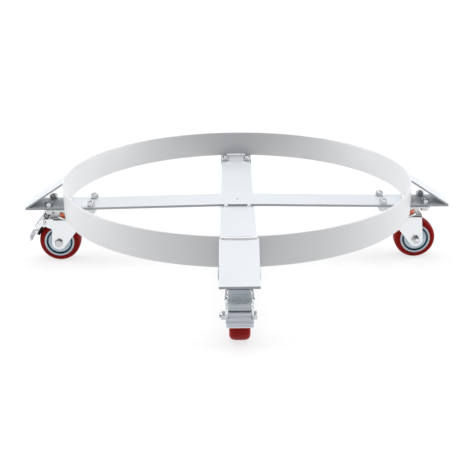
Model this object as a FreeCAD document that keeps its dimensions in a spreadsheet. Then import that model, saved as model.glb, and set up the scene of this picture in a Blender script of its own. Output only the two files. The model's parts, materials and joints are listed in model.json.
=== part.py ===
import FreeCAD, Part
import math
import os
import re
import Sketcher
from FreeCAD import Placement, Rotation, Vector

# Drum dolly: a rolled steel ring welded on a cross of two flat bars, with a sloped
# brace from each bar end to the ring and a swivel caster bolted under each arm.
# Millimetres. The origin is on the floor under the middle of the ring, +Z up.
# Casters are drawn in the frame of the +X arm: X points outwards, Y along the axle.

SIZES = {
    # Ring
    "ring_radius": 310,
    "ring_band": 3,
    "ring_height": 50,
    # Cross bars, level outside the bends and passing over one another in the middle
    "bar_top": 109,
    "bar_width": 60,
    "bar_thick": 4,
    "arm_reach": 383,
    "bar_bend": 250,
    "cross_flat": 36,
    "jig_hole_radius": 2,
    # Braces and weld beads
    "brace_thick": 3,
    "brace_drop": 4,
    "brace_bead": 2.4,
    "brace_bead_length": 57,
    "inner_bead": 2.2,
    "outer_bead": 3,
    "ring_bead_angle": 7.8,
    "tack_leg": 3.2,
    "tack_length": 6,
    "tack_offset": 21,
    # Caster position and fasteners
    "caster_radius": 303,
    "hole_reach": 38,
    "hole_side": 22.5,
    "hole_radius": 4.5,
    "bolt_radius": 4,
    "bolt_flat": 13,
    "bolt_head": 5.5,
    "washer_radius": 7,
    "washer_thick": 2,
    "nut_height": 6.5,
    "bolt_thread": 2,
    # Caster top plate and swivel
    "plate_length": 95,
    "plate_width": 64,
    "plate_thick": 3.5,
    "plate_corner": 8,
    "race_radius": 24,
    "race_depth": 7,
    "hub_radius": 15.5,
    "seal_inner": 22.5,
    "seal_outer": 25,
    "ball_ring": 19,
    "ball_radius": 3.3,
    "ball_count": 14,
    "swivel_gap": 0.3,
    "pin_radius": 6,
    "pin_head_radius": 9,
    "pin_head_depth": 6,
    "pin_foot_radius": 10,
    "pin_foot_height": 4,
    "running_gap": 0.05,
    # Fork
    "head_top": 87,
    "head_thick": 3,
    "head_radius": 31,
    "shoulder": 62,
    "leg_inner": 18.5,
    "leg_thick": 2.8,
    "leg_outer_edge": 35,
    "leg_inner_edge": 24,
    "leg_end_radius": 13,
    "leg_end_angle": 218,
    # Wheel and axle
    "wheel_radius": 37.5,
    "wheel_trail": 26,
    "tread_half": 16,
    "tread_round": 4.5,
    "core_radius": 27.5,
    "axle_radius": 4,
    "sleeve_radius": 6,
    "sleeve_half": 18.3,
    "axle_tail": 31,
    "bearing_radius": 13,
    "bearing_inner": 9,
    "bearing_outer": 17,
    # Brake
    "brake_u": 50,
    "brake_z": 77,
    "brake_pin_radius": 2.5,
    "brake_pin_half": 23,
    "ear_radius": 6.5,
    "pedal_half": 18.2,
    "pedal_flange": 2,
    "lip_half": 20.5,
    "rib_half": 11,
    "arm_half": 14.5,
    "arm_inner": 43,
    "arm_outer": 45,
    "pad_inner": 37.8,
    "pad_half": 13,
}

document = FreeCAD.newDocument("drum_dolly")
sizes = document.addObject("Spreadsheet::Sheet", "sizes")
for row, (alias, number) in enumerate(SIZES.items(), start=1):
    sizes.set(f"A{row}", alias)
    sizes.set(f"B{row}", str(number))
    sizes.setAlias(f"B{row}", alias)
document.recompute()
scratch = document.addObject("App::FeaturePython", "scratch")

NODES = []
ARMS = {"front": -90, "right": 0, "back": 90, "left": 180}
BRAKED = ("front", "left")


# Expressions and sketches

def formula(text):
    """An expression of size names, such as "bar_top - bar_thick", pointed at the sheet."""
    def point(word):
        name = word.group()
        return f"sizes.{name}" if name in SIZES else name
    return re.sub(r"[a-z][a-z_0-9]*", point, str(text))


def size(text):
    """The value of an expression of size names."""
    return float(scratch.evalExpression(formula(text)))


def new_body(name):
    body = document.addObject("PartDesign::Body", name)
    body.Label = name
    return body


def new_sketch(body, name, role, offset="0"):
    """A sketch on one of the body's origin planes, moved along the plane's normal."""
    sketch = body.newObject("Sketcher::SketchObject", name)
    plane = next(item for item in body.Origin.OriginFeatures if item.Role == role)
    sketch.AttachmentSupport = [(plane, "")]
    sketch.MapMode = "FlatFace"
    sketch.setExpression("AttachmentOffset.Base.z", formula(offset))
    return sketch


def fix(sketch, kind, geometry, point, text):
    """Hold one coordinate of a point, or one radius, to an expression."""
    if kind == "Radius":
        constraint = Sketcher.Constraint(kind, geometry, size(text))
    else:
        constraint = Sketcher.Constraint(kind, -1, 1, geometry, point, size(text))
    number = sketch.addConstraint(constraint)
    sketch.setExpression(f"Constraints[{number}]", formula(text))


def arc_between(start, end, radius):
    """The counter-clockwise arc of less than half a turn from start to end."""
    chord = end - start
    left = Vector(-chord.y, chord.x, 0).normalize()
    rise = math.sqrt(max(radius ** 2 - chord.Length ** 2 / 4, 0))
    centre = (start + end) * 0.5 + left * rise
    first, last = [math.atan2(p.y - centre.y, p.x - centre.x) for p in (start, end)]
    return Part.ArcOfCircle(Part.Circle(centre, Vector(0, 0, 1), radius), first, last)


def outline(body, name, role, corners, arcs=None, offset="0", sketch=None):
    """A closed outline through the corners, each a pair of expressions. The edge that
    leaves corner i is an arc where arcs[i] gives its radius, with "-" for clockwise."""
    arcs = arcs or {}
    sketch = sketch or new_sketch(body, name, role, offset)
    points = [Vector(size(x), size(y), 0) for x, y in corners]
    edges = []
    for i, start in enumerate(points):
        end = points[(i + 1) % len(points)]
        if i not in arcs:
            edges.append((sketch.addGeometry(Part.LineSegment(start, end)), 1, 2))
            continue
        clockwise = arcs[i].startswith("-")
        radius = arcs[i].lstrip("-")
        ends = (end, start) if clockwise else (start, end)
        number = sketch.addGeometry(arc_between(*ends, size(radius)))
        fix(sketch, "Radius", number, None, radius)
        edges.append((number, 2, 1) if clockwise else (number, 1, 2))
    for i, (edge, first, last) in enumerate(edges):
        following, following_first, _ = edges[(i + 1) % len(edges)]
        sketch.addConstraint(Sketcher.Constraint("Coincident", edge, last, following, following_first))
        fix(sketch, "DistanceX", edge, first, corners[i][0])
        fix(sketch, "DistanceY", edge, first, corners[i][1])
    return sketch


def circles(body, name, role, rounds, offset="0", sketch=None):
    """Circles given as (x, y, radius) expressions."""
    sketch = sketch or new_sketch(body, name, role, offset)
    for x, y, radius in rounds:
        shape = Part.Circle(Vector(size(x), size(y), 0), Vector(0, 0, 1), size(radius))
        number = sketch.addGeometry(shape)
        fix(sketch, "DistanceX", number, 3, x)
        fix(sketch, "DistanceY", number, 3, y)
        fix(sketch, "Radius", number, None, radius)
    return sketch


def rectangle(low_x, low_y, high_x, high_y):
    return [(low_x, low_y), (high_x, low_y), (high_x, high_y), (low_x, high_y)]


# Features

def pad(body, sketch, length, symmetric=True, backwards=False):
    feature = body.newObject("PartDesign::Pad", sketch.Name + "_pad")
    feature.Profile = sketch
    feature.SideType = "Symmetric" if symmetric else "One side"
    feature.Reversed = backwards
    feature.setExpression("Length", formula(length))
    document.recompute()
    return feature


def pocket(body, sketch, length, symmetric=True, backwards=False):
    """Cut, and stop if the cut took nothing away."""
    before = body.Shape.Volume
    feature = body.newObject("PartDesign::Pocket", sketch.Name + "_pocket")
    feature.Profile = sketch
    feature.SideType = "Symmetric" if symmetric else "One side"
    feature.Reversed = backwards
    feature.setExpression("Length", formula(length))
    document.recompute()
    if body.Shape.Volume > before - 0.01:
        raise ValueError(f"{feature.Name} cuts nothing")
    return feature


def revolve(body, sketch, axis="V_Axis", angle="360", symmetric=False):
    feature = body.newObject("PartDesign::Revolution", sketch.Name + "_turn")
    feature.Profile = sketch
    feature.ReferenceAxis = (sketch, [axis])
    feature.Midplane = symmetric
    feature.setExpression("Angle", formula(angle))
    document.recompute()
    return feature


def stand(body, degrees, along="0", up="0"):
    """Place a body drawn on the +X arm: a distance out along its own arm, and up."""
    turn = Rotation(Vector(0, 0, 1), degrees)
    body.Placement = Placement(Vector(0, 0, 0), turn)
    body.setExpression("Placement.Base.x", formula(f"({along}) * cos({degrees})"))
    body.setExpression("Placement.Base.y", formula(f"({along}) * sin({degrees})"))
    body.setExpression("Placement.Base.z", formula(up))
    document.recompute()
    return body


def keep(thing):
    """Make the object one of the sub-parts that are written out."""
    NODES.append(thing)
    return thing


def group(name, pieces):
    """Identical pieces as separate solids of one sub-part."""
    feature = document.addObject("Part::Feature", name)
    feature.Label = name
    feature.Shape = Part.Compound(pieces)
    return keep(feature)


def copies(piece, places):
    """Copies of a piece's shape, each moved by a placement."""
    shapes = []
    for place in places:
        shape = piece.Shape.copy()
        shape.Placement = place.multiply(shape.Placement)
        shapes.append(shape)
    return shapes


def arm_turns():
    return [Placement(Vector(0, 0, 0), Rotation(Vector(0, 0, 1), degrees)) for degrees in ARMS.values()]


def hexagon(body, name, role, flat, offset="0"):
    """A hexagon about the origin, two of its flats parallel to the sketch's x axis."""
    corners = [(f"({flat}) / sqrt(3) * cos({60 * i})", f"({flat}) / sqrt(3) * sin({60 * i})")
               for i in range(6)]
    return outline(body, name, role, corners, offset=offset)


# Frame

def drum_ring():
    body = new_body("drum_ring")
    rims = [("0", "0", "ring_radius"), ("0", "0", "ring_radius + ring_band")]
    sketch = circles(body, "ring_section", "XY_Plane", rims, offset="bar_top")
    pad(body, sketch, "ring_height", symmetric=False)
    return keep(body)


def cross_bar(name, middle, degrees):
    """A flat bar, level at both ends. middle lists the corners of its top between the ends."""
    body = new_body(name)
    top = [("-arm_reach", "bar_top"), *middle, ("arm_reach", "bar_top")]
    bottom = [(x, f"{z} - bar_thick") for x, z in reversed(top)]
    pad(body, outline(body, name + "_side", "XZ_Plane", top + bottom), "bar_width")
    holes = [("0", "0", "jig_hole_radius")]
    for side in ("-", ""):
        for row in ("-", ""):
            for reach in ("caster_radius - hole_reach", "caster_radius + hole_reach"):
                holes.append((f"{side}({reach})", f"{row}hole_side", "hole_radius"))
    drills = circles(body, name + "_holes", "XY_Plane", holes, offset="bar_top")
    pocket(body, drills, "4 * bar_thick")
    return keep(stand(body, degrees))


def brace_slope():
    return "((ring_height - brace_drop) / (arm_reach - ring_radius - ring_band))"


def brace_height(x):
    """The height of a brace's outer face at a distance x from the middle."""
    return f"bar_top + (arm_reach - ({x})) * {brace_slope()}"


def brace(arm):
    """A sloped strip from the end of the bar to just under the ring's rim."""
    body = new_body(f"brace_{arm}")
    steep = f"sqrt(1 + {brace_slope()}^2)"
    corners = [("arm_reach", "bar_top"),
               ("ring_radius", brace_height("ring_radius")),
               ("ring_radius", f"{brace_height('ring_radius')} - brace_thick * {steep}"),
               (f"arm_reach - brace_thick * {steep} / {brace_slope()}", "bar_top")]
    pad(body, outline(body, body.Name + "_side", "XZ_Plane", corners), "bar_width")
    trim_to_ring(body)
    return keep(stand(body, ARMS[arm]))


def trim_to_ring(body):
    """Cut away what lies inside the ring's outer face."""
    rim = [("0", "0", "ring_radius + ring_band")]
    pocket(body, circles(body, body.Name + "_trim", "XY_Plane", rim, offset="bar_top"), "4 * ring_height")


def ring_welds():
    """Fillet beads where the ring stands on the bars, inside and outside."""
    beads = []
    for name, wall, leg in (("inner_bead_piece", "ring_radius", "-inner_bead"),
                            ("outer_bead_piece", "ring_radius + ring_band", "outer_bead")):
        body = new_body(name)
        corners = [(wall, "bar_top"), (f"{wall} + {leg}", "bar_top"),
                   (wall, f"bar_top + abs({leg})")]
        sketch = outline(body, name + "_section", "XZ_Plane", corners)
        revolve(body, sketch, angle="ring_bead_angle", symmetric=True)
        beads += copies(body, arm_turns())
    return group("ring_welds", beads)


def brace_welds():
    """Beads along the top of the braces, against the ring."""
    body = new_body("brace_bead_piece")
    toe = "ring_radius + ring_band + 1.7 * brace_bead"
    crest = "bar_top + ring_height - brace_drop + brace_bead"
    corners = [("ring_radius", brace_height("ring_radius")), (toe, brace_height(toe)),
               ("ring_radius + ring_band", crest), ("ring_radius", crest)]
    pad(body, outline(body, "brace_bead_section", "XZ_Plane", corners), "brace_bead_length")
    trim_to_ring(body)
    return group("brace_welds", copies(body, arm_turns()))


def cross_welds():
    """Four short tacks that join the bars where they cross."""
    body = new_body("tack_piece")
    corners = [("bar_width / 2", "bar_top"), ("bar_width / 2 + tack_leg", "bar_top"),
               ("bar_width / 2", "bar_top + tack_leg")]
    pad(body, outline(body, "tack_section", "YZ_Plane", corners), "tack_length")
    offset = size("tack_offset")
    places = []
    for degrees in (0, 180):
        turn = Placement(Vector(0, 0, 0), Rotation(Vector(0, 0, 1), degrees))
        places += [turn.multiply(Placement(Vector(x, 0, 0), Rotation())) for x in (-offset, offset)]
    return group("cross_welds", copies(body, places))


# Caster fasteners

def bolt_places():
    """A placement for each caster bolt: a pair inside the ring and a pair outside it, on every arm."""
    places = []
    for turn in arm_turns():
        for row in (-1, 1):
            for side in (-1, 1):
                x = size("caster_radius") + row * size("hole_reach")
                spot = Placement(Vector(x, side * size("hole_side"), 0), Rotation())
                places.append(turn.multiply(spot))
    return places


def caster_bolts():
    """Hexagon bolts with their heads under the caster plate."""
    body = new_body("bolt_piece")
    underside = "bar_top - bar_thick - plate_thick"
    top = "bar_top + washer_thick + nut_height + bolt_thread"
    pad(body, hexagon(body, "bolt_piece_head", "XY_Plane", "bolt_flat", offset=underside),
        "bolt_head", symmetric=False, backwards=True)
    shank = circles(body, "bolt_piece_shank", "XY_Plane", [("0", "0", "bolt_radius")], offset=underside)
    pad(body, shank, f"{top} - ({underside})", symmetric=False)
    return group("caster_bolts", copies(body, bolt_places()))


def caster_washers():
    body = new_body("washer_piece")
    rims = [("0", "0", "washer_radius"), ("0", "0", "bolt_radius + running_gap")]
    pad(body, circles(body, "washer_section", "XY_Plane", rims, offset="bar_top"),
        "washer_thick", symmetric=False)
    return group("caster_washers", copies(body, bolt_places()))


def caster_nuts():
    body = new_body("nut_piece")
    sketch = hexagon(body, "nut_section", "XY_Plane", "bolt_flat", offset="bar_top + washer_thick")
    circles(body, None, None, [("0", "0", "bolt_radius + running_gap")], sketch=sketch)
    pad(body, sketch, "nut_height", symmetric=False)
    return group("caster_nuts", copies(body, bolt_places()))


# Caster top: what stays with the frame

PLATE_TOP = "bar_top - bar_thick"
PLATE_UNDER = "bar_top - bar_thick - plate_thick"


def top_plate(arm):
    """The bolted plate, with the upper ball race pressed down from it."""
    body = new_body(f"top_plate_{arm}")
    half_x = "plate_length / 2"
    half_y = "plate_width / 2"
    round_x = f"({half_x} - plate_corner)"
    round_y = f"({half_y} - plate_corner)"
    corners = [(round_x, f"-{half_y}"), (half_x, f"-{round_y}"), (half_x, round_y),
               (round_x, half_y), (f"-{round_x}", half_y), (f"-{half_x}", round_y),
               (f"-{half_x}", f"-{round_y}"), (f"-{round_x}", f"-{half_y}")]
    rounds = {i: "plate_corner" for i in (0, 2, 4, 6)}
    sketch = outline(body, body.Name + "_plan", "XY_Plane", corners, rounds, offset=PLATE_UNDER)
    pad(body, sketch, "plate_thick", symmetric=False)
    bore = "pin_radius + running_gap"
    race_under = f"{PLATE_UNDER} - race_depth"
    race = [(bore, "head_top + swivel_gap"), ("hub_radius", "head_top + swivel_gap"),
            ("hub_radius", race_under), ("race_radius", race_under),
            ("race_radius", PLATE_TOP), (bore, PLATE_TOP)]
    revolve(body, outline(body, body.Name + "_race", "XZ_Plane", race))
    recess = circles(body, body.Name + "_recess", "XY_Plane", [("0", "0", "pin_head_radius")],
                     offset=PLATE_TOP)
    pocket(body, recess, "2 * pin_head_depth")
    holes = [(f"{a}hole_reach", f"{b}hole_side", "hole_radius") for a in ("-", "") for b in ("-", "")]
    pocket(body, circles(body, body.Name + "_holes", "XY_Plane", holes, offset=PLATE_TOP), "4 * plate_thick")
    return keep(stand(body, ARMS[arm], along="caster_radius"))


def caster_places():
    spot = Placement(Vector(size("caster_radius"), 0, 0), Rotation())
    return [turn.multiply(spot) for turn in arm_turns()]


def kingpins():
    """Riveted pins that the forks turn on, heads sunk in the plates."""
    body = new_body("kingpin_piece")
    foot_top = "head_top - head_thick - swivel_gap"
    head_under = f"{PLATE_TOP} - pin_head_depth"
    corners = [("0", f"{foot_top} - pin_foot_height"), ("pin_foot_radius", f"{foot_top} - pin_foot_height"),
               ("pin_foot_radius", foot_top), ("pin_radius", foot_top), ("pin_radius", head_under),
               ("pin_head_radius - swivel_gap", head_under),
               ("pin_head_radius - swivel_gap", f"{PLATE_TOP} - swivel_gap"),
               ("0", f"{PLATE_TOP} - swivel_gap")]
    revolve(body, outline(body, "kingpin_section", "XZ_Plane", corners))
    return group("kingpins", copies(body, caster_places()))


def dust_seals():
    body = new_body("seal_piece")
    low = "head_top + swivel_gap"
    high = f"{PLATE_UNDER} - race_depth"
    corners = rectangle("seal_inner", low, "seal_outer", high)
    revolve(body, outline(body, "seal_section", "XZ_Plane", corners))
    return group("dust_seals", copies(body, caster_places()))


def swivel_balls():
    height = size("head_top + swivel_gap + ball_radius + 0.3")
    count = int(size("ball_count"))
    balls = []
    for place in caster_places():
        for number in range(count):
            turn = math.radians(360 / count * number)
            x, y = [size("ball_ring") * part for part in (math.cos(turn), math.sin(turn))]
            centre = place.multVec(Vector(x, y, height))
            balls.append(Part.makeSphere(size("ball_radius"), centre))
    return group("swivel_balls", balls)


# Fork and axle: what turns about the kingpin

def leg_side():
    """The side view of the fork: a head, and legs that narrow to round ends at the axle."""
    end = "leg_end_radius"
    corners = [("-head_radius", "head_top"),
               ("-head_radius", "head_top - head_thick"),
               ("-leg_inner_edge", "head_top - 2 * head_thick"),
               (f"wheel_trail + {end} * cos(leg_end_angle)", f"wheel_radius + {end} * sin(leg_end_angle)"),
               ("wheel_trail", f"wheel_radius - {end}"),
               (f"wheel_trail + {end}", "wheel_radius"),
               ("leg_outer_edge", "head_top - 2 * head_thick"),
               ("leg_outer_edge", "head_top")]
    return corners, {3: end, 4: end}


def fork_section():
    """The end view of the fork: a flat head, sloping shoulders and two parallel legs."""
    outer = "leg_inner + leg_thick"
    foot = "wheel_radius - leg_end_radius - 1"
    half = [("head_radius", "head_top"), ("head_radius", "head_top - head_thick - 1"),
            (outer, "shoulder"), (outer, foot), ("leg_inner", foot),
            ("leg_inner", "shoulder + 0.5"), ("head_radius - leg_thick", "head_top - head_thick")]
    return half + [(f"-({y})", z) for y, z in reversed(half)]


def swivel_fork(arm):
    body = new_body(f"fork_{arm}")
    pad(body, outline(body, body.Name + "_end", "YZ_Plane", fork_section()), "4 * head_radius")
    frame = rectangle("-3 * head_radius", "0", "3 * head_radius", "head_top + 9")
    around = outline(body, body.Name + "_side", "XZ_Plane", frame)
    corners, arcs = leg_side()
    outline(body, None, None, corners, arcs, sketch=around)
    pocket(body, around, "4 * head_radius")
    plan = outline(body, body.Name + "_plan", "XY_Plane",
                   rectangle("-2 * head_radius", "-2 * head_radius", "2 * head_radius", "2 * head_radius"),
                   offset="head_top")
    circles(body, None, None, [("0", "0", "head_radius")], sketch=plan)
    pocket(body, plan, "2 * (head_thick + 1)")
    bore = circles(body, body.Name + "_bore", "XY_Plane", [("0", "0", "pin_radius + running_gap")],
                   offset="head_top")
    pocket(body, bore, "4 * head_thick")
    if arm in BRAKED:
        brake_ears(body)
    axle = [("wheel_trail", "wheel_radius", "axle_radius + running_gap")]
    if arm in BRAKED:
        axle.append(("brake_u", "brake_z", "brake_pin_radius + running_gap"))
    pocket(body, circles(body, body.Name + "_axle_holes", "XZ_Plane", axle), "4 * head_radius")
    return keep(stand(body, ARMS[arm], along="caster_radius"))


def brake_ears(body):
    """Two ears on the fork's legs that carry the brake pedal's pin."""
    head_under = "head_top - head_thick"
    corners = [("wheel_trail / 2", head_under), ("wheel_trail / 2", "shoulder"),
               ("wheel_trail + 6", "shoulder"), ("brake_u", "brake_z - ear_radius"),
               ("brake_u + ear_radius", "brake_z"), ("brake_u", "brake_z + ear_radius"),
               ("leg_outer_edge", head_under)]
    arcs = {3: "ear_radius", 4: "ear_radius"}
    sketch = outline(body, body.Name + "_ears", "XZ_Plane", corners, arcs)
    pad(body, sketch, "2 * (leg_inner + leg_thick)")
    gap = rectangle("wheel_trail / 2 - 1", "shoulder - 1", "brake_u + ear_radius + 1", head_under)
    pocket(body, outline(body, body.Name + "_ear_gap", "XZ_Plane", gap), "2 * leg_inner")


def axle_bolt(arm):
    body = new_body(f"axle_bolt_{arm}")
    leg_face = "leg_inner + leg_thick"
    pad(body, hexagon(body, body.Name + "_head", "XZ_Plane", "bolt_flat", offset=f"-({leg_face})"),
        "bolt_head", symmetric=False, backwards=True)
    shank = circles(body, body.Name + "_shank", "XZ_Plane", [("0", "0", "axle_radius")],
                    offset=f"-({leg_face})")
    pad(body, shank, f"{leg_face} + axle_tail", symmetric=False)
    return keep(stand(body, ARMS[arm], along="caster_radius + wheel_trail", up="wheel_radius"))


def axle_nut(arm):
    body = new_body(f"axle_nut_{arm}")
    sketch = hexagon(body, body.Name + "_section", "XZ_Plane", "bolt_flat", offset="leg_inner + leg_thick")
    circles(body, None, None, [("0", "0", "axle_radius + running_gap")], sketch=sketch)
    pad(body, sketch, "nut_height", symmetric=False)
    return keep(stand(body, ARMS[arm], along="caster_radius + wheel_trail", up="wheel_radius"))


def axle_sleeve(arm):
    body = new_body(f"axle_sleeve_{arm}")
    rims = [("0", "0", "axle_radius + running_gap"), ("0", "0", "sleeve_radius")]
    pad(body, circles(body, body.Name + "_section", "XZ_Plane", rims), "2 * sleeve_half")
    return keep(stand(body, ARMS[arm], along="caster_radius + wheel_trail", up="wheel_radius"))


# Wheel: what turns on the sleeve

def wheel_tread(arm):
    body = new_body(f"wheel_tread_{arm}")
    crown = "tread_half - tread_round"
    corners = [("-tread_half", "core_radius"), ("tread_half", "core_radius"),
               ("tread_half", "wheel_radius - tread_round"), (crown, "wheel_radius"),
               (f"-({crown})", "wheel_radius"), ("-tread_half", "wheel_radius - tread_round")]
    arcs = {2: "tread_round", 4: "tread_round"}
    revolve(body, outline(body, body.Name + "_section", "YZ_Plane", corners, arcs), "H_Axis")
    return keep(stand(body, ARMS[arm], along="caster_radius + wheel_trail", up="wheel_radius"))


def wheel_core(arm):
    """The moulded centre: hub with bearing seats, web, groove and rim."""
    body = new_body(f"wheel_core_{arm}")
    half = [("bearing_inner", "sleeve_radius + 2"), ("bearing_inner", "bearing_radius"),
            ("bearing_outer", "bearing_radius"), ("bearing_outer", "bearing_radius + 2.5"),
            ("bearing_outer - 2.5", "bearing_radius + 3.5"), ("bearing_outer - 2.5", "bearing_radius + 7.5"),
            ("bearing_outer - 7", "bearing_radius + 8"), ("bearing_outer - 7", "core_radius - 4"),
            ("tread_half - 0.5", "core_radius - 3.5"), ("tread_half - 0.5", "core_radius")]
    corners = half + [(f"-({y})", radius) for y, radius in reversed(half)]
    revolve(body, outline(body, body.Name + "_section", "YZ_Plane", corners), "H_Axis")
    return keep(stand(body, ARMS[arm], along="caster_radius + wheel_trail", up="wheel_radius"))


def wheel_bearings(arm):
    """Two ball bearings, one in each side of the hub."""
    body = new_body(f"bearing_piece_{arm}")
    corners = rectangle("bearing_inner", "sleeve_radius + running_gap", "bearing_outer", "bearing_radius")
    revolve(body, outline(body, body.Name + "_section", "YZ_Plane", corners), "H_Axis")
    spot = Placement(Vector(size("caster_radius + wheel_trail"), 0, size("wheel_radius")), Rotation())
    turn = Placement(Vector(0, 0, 0), Rotation(Vector(0, 0, 1), ARMS[arm]))
    flip = Placement(Vector(0, 0, 0), Rotation(Vector(0, 0, 1), 180))
    places = [turn.multiply(spot), turn.multiply(spot).multiply(flip)]
    return group(f"wheel_bearings_{arm}", copies(body, places))


# Brake: what turns about the pedal pin

def brake_pedal(arm):
    """A stamped pedal: ribbed plate between side flanges, and a bulged lip to step on."""
    body = new_body(f"brake_pedal_{arm}")
    plate = [("48.3", "91.8"), ("58.4", "77.6"), ("69.5", "65.4"), ("71", "67"), ("60", "79"), ("50", "93")]
    pad(body, outline(body, body.Name + "_plate", "XZ_Plane", plate), "2 * pedal_half")
    lip = [("68.6", "66.4"), ("74.6", "57.2"), ("77.2", "47.4"), ("75.2", "43"), ("76.8", "41.6"),
           ("79.5", "47"), ("76.8", "58"), ("71.4", "68.4"), ("69.6", "68.4")]
    pad(body, outline(body, body.Name + "_lip", "XZ_Plane", lip), "2 * lip_half")
    flange = [("50", "92"), ("44.6", "80"), ("44.6", "73"), ("50", "70.5"), ("66", "57"), ("74.6", "57.2"),
              ("70", "66"), ("59", "78.5")]
    pad(body, outline(body, body.Name + "_flange", "XZ_Plane", flange), "2 * pedal_half")
    inside = [("48.3", "91.8"), ("40", "80"), ("40", "60"), ("66", "50"), ("73.4", "57"), ("69.5", "65.4"),
              ("58.4", "77.6")]
    pocket(body, outline(body, body.Name + "_inside", "XZ_Plane", inside), "2 * (pedal_half - pedal_flange)")
    for number in range(3):
        x, z = 60.4 + 2.6 * number, 78.1 - 2.84 * number
        rib = [(f"{x}", f"{z}"), (f"{x + 0.7}", f"{z - 0.8}"), (f"{x + 1.3}", f"{z + 0.3}"),
               (f"{x + 0.9}", f"{z + 0.8}")]
        pad(body, outline(body, f"{body.Name}_rib_{number}", "XZ_Plane", rib), "2 * rib_half")
    hole = [("brake_u", "brake_z", "brake_pin_radius + running_gap")]
    pocket(body, circles(body, body.Name + "_pin_hole", "XZ_Plane", hole), "4 * pedal_half")
    return keep(stand(body, ARMS[arm], along="caster_radius"))


def brake_pin(arm):
    body = new_body(f"brake_pin_{arm}")
    sketch = circles(body, body.Name + "_section", "XZ_Plane", [("brake_u", "brake_z", "brake_pin_radius")])
    pad(body, sketch, "2 * brake_pin_half")
    return keep(stand(body, ARMS[arm], along="caster_radius"))


def around_wheel(radius, degrees):
    """A point of a circle about the axle, in the caster's own frame."""
    return (f"wheel_trail + ({radius}) * cos({degrees})", f"wheel_radius + ({radius}) * sin({degrees})")


def brake_arm(arm):
    """A spring strip that reaches from the pedal down over the tread."""
    body = new_body(f"brake_arm_{arm}")
    corners = [around_wheel("arm_inner", 19), around_wheel("arm_outer", 19), around_wheel("arm_outer", 48),
               ("60.9", "74.85"), ("58.9", "77.05"), around_wheel("arm_inner", 51)]
    arcs = {1: "arm_outer", 5: "-arm_inner"}
    pad(body, outline(body, body.Name + "_side", "XZ_Plane", corners, arcs), "2 * arm_half")
    return keep(stand(body, ARMS[arm], along="caster_radius"))


def brake_pad(arm):
    """The block on the end of the strip that presses on the tread."""
    body = new_body(f"brake_pad_{arm}")
    corners = [around_wheel("pad_inner", 19), around_wheel("arm_inner", 19),
               around_wheel("arm_inner", 30), around_wheel("pad_inner", 30)]
    arcs = {1: "arm_inner", 3: "-pad_inner"}
    pad(body, outline(body, body.Name + "_side", "XZ_Plane", corners, arcs), "2 * pad_half")
    return keep(stand(body, ARMS[arm], along="caster_radius"))


def build():
    drum_ring()
    step_over = [("-bar_bend", "bar_top"), ("-cross_flat", "bar_top + bar_thick"),
                 ("cross_flat", "bar_top + bar_thick"), ("bar_bend", "bar_top")]
    cross_bar("long_cross_bar", [], 90)
    cross_bar("over_cross_bar", step_over, 0)
    ring_welds()
    brace_welds()
    cross_welds()
    caster_bolts()
    caster_washers()
    caster_nuts()
    kingpins()
    dust_seals()
    swivel_balls()
    for arm in ARMS:
        for piece in (brace, top_plate, swivel_fork, axle_bolt, axle_nut, axle_sleeve,
                      wheel_tread, wheel_core, wheel_bearings):
            piece(arm)
    for arm in BRAKED:
        for piece in (brake_pedal, brake_pin, brake_arm, brake_pad):
            piece(arm)


def check():
    """Stop unless every object recomputed and every sub-part is a valid shape."""
    document.recompute()
    for thing in document.Objects:
        if {"Invalid", "Error"} & set(thing.State):
            raise ValueError(f"{thing.Name} failed: {thing.State}")
    for node in NODES:
        if node.Shape.isNull() or not node.Shape.isValid():
            raise ValueError(f"{node.Label} has no valid shape")


build()
check()
os.makedirs("parts", exist_ok=True)
for node in NODES:
    node.Shape.exportStep(f"parts/{node.Label}.step")
    print(node.Label, len(node.Shape.Solids), round(node.Shape.Volume))
print(len(NODES), "sub-parts")
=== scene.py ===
import json
import math
import bmesh
import bpy
from mathutils import Matrix, Vector

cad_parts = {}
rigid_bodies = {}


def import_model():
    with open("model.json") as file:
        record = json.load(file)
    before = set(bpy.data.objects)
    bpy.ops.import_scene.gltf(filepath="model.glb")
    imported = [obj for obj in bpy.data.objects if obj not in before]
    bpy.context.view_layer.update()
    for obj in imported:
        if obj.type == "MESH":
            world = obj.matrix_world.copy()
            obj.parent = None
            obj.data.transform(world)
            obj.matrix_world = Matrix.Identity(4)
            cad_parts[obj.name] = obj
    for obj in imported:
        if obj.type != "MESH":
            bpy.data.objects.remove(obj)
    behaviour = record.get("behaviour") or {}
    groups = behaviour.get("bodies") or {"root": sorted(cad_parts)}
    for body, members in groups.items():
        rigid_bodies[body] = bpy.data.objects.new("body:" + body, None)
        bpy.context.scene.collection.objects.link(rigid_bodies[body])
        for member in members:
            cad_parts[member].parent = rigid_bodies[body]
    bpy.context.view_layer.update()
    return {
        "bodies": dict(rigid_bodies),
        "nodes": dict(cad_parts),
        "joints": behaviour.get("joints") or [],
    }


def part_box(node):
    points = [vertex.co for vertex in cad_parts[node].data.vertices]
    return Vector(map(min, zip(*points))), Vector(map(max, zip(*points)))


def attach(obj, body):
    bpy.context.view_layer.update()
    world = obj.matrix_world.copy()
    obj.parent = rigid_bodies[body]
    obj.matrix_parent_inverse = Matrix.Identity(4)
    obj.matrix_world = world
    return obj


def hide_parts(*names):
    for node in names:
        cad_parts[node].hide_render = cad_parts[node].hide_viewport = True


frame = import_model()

# Looks of the drum dolly. Lengths in the drawing functions are millimetres, as in the
# CAD; mesh_piece() turns them into metres. A caster is drawn in the frame of the +X arm:
# u points outwards from its swivel axis, v runs along its axle, z is up from the floor.

MM = 0.001
JOINTS = {joint["name"]: joint for joint in frame["joints"]}
ARMS = {"front": -90, "right": 0, "back": 90, "left": 180}
BRAKED = [arm for arm in ARMS if f"brake_{arm}" in frame["bodies"]]


# Sizes, read from the CAD nodes in millimetres

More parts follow.
